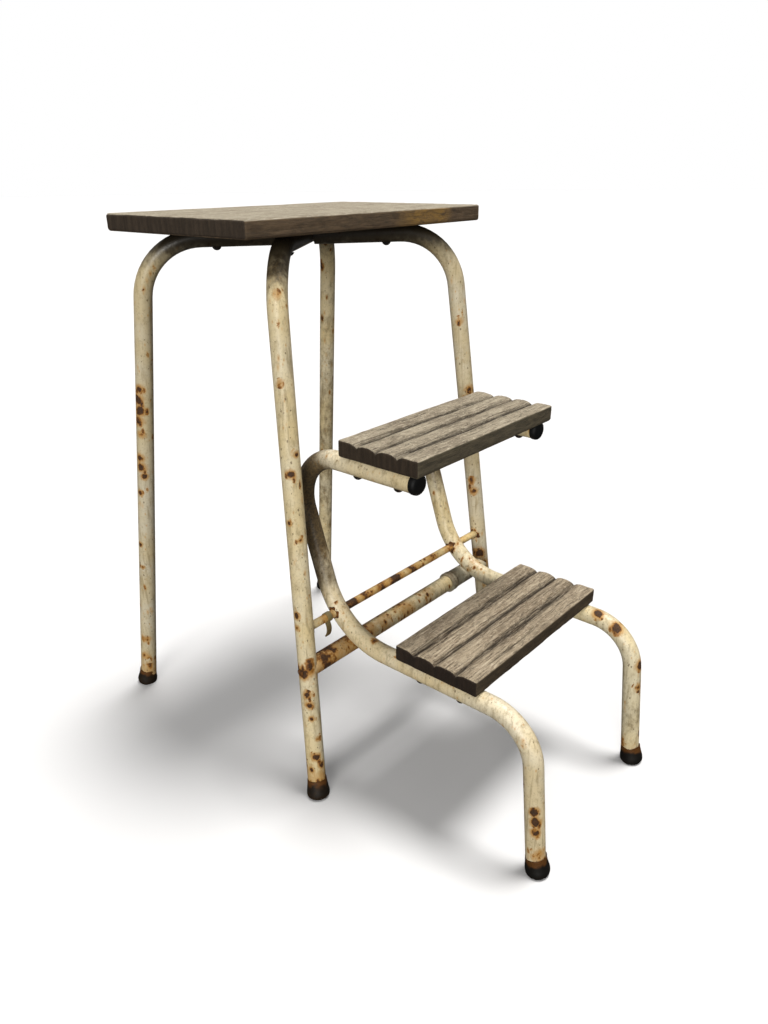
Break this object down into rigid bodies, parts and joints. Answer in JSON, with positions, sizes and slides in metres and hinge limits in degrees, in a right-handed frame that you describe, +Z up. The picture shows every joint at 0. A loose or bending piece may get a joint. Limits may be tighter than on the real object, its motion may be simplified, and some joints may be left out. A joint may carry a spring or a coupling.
{
  "type": "folding step stool",
  "caption": "Wooden-topped stool on two crossed bent-tube leg hoops, with a tubular step unit of ridged wooden treads that turns over and stows under the seat.",
  "frame": {"origin": "on the floor, at the centre of the footprint with the steps open", "axes": "+Z up, -Y towards the side one climbs from, +X to the right seen from that side"},
  "size_m": [0.4012, 0.652, 0.66],
  "materials": {
    "seat_wood": "weathered grey-brown, dry",
    "tread_wood": "weathered grey-brown, ridged, dry",
    "cream_paint": "yellowed cream enamel with rust chips",
    "rusted_paint": "cream enamel, mostly stained with rust",
    "rusted_rivet": "rusted",
    "hose": "aged hose, dull",
    "dark_screws": "blackened",
    "black_rubber": "worn matt rubber"
  },
  "bodies": {
    "stool_frame": {"seat_plank_front": "seat_wood", "seat_plank_rear": "seat_wood", "leg_hoop_over": "cream_paint", "leg_hoop_under": "cream_paint", "pivot_rod": "rusted_paint", "rod_tab": "rusted_paint", "crossbar": "rusted_paint", "crossbar_tie_rod": "rusted_rivet", "crossbar_sleeve": "hose", "seat_screws": "dark_screws", "foot_cap_front_left": "black_rubber", "foot_cap_front_right": "black_rubber", "foot_cap_rear_left": "black_rubber", "foot_cap_rear_right": "black_rubber"},
    "step_unit": {"step_tube_left": "cream_paint", "step_tube_right": "cream_paint", "upper_tread": "tread_wood", "lower_tread": "tread_wood", "upper_tread_screws": "dark_screws", "lower_tread_screws": "dark_screws", "foot_cap_step_left": "black_rubber", "foot_cap_step_right": "black_rubber", "tube_end_cap_left": "black_rubber", "tube_end_cap_right": "black_rubber"}
  },
  "joints": [
    {"name": "steps_turn_over", "type": "hinge", "parent": "stool_frame", "child": "step_unit", "pos_m": [0, -0.02646, 0.218], "axis": [-1, 0, 0], "range_deg": [0, 127]}
  ]
}
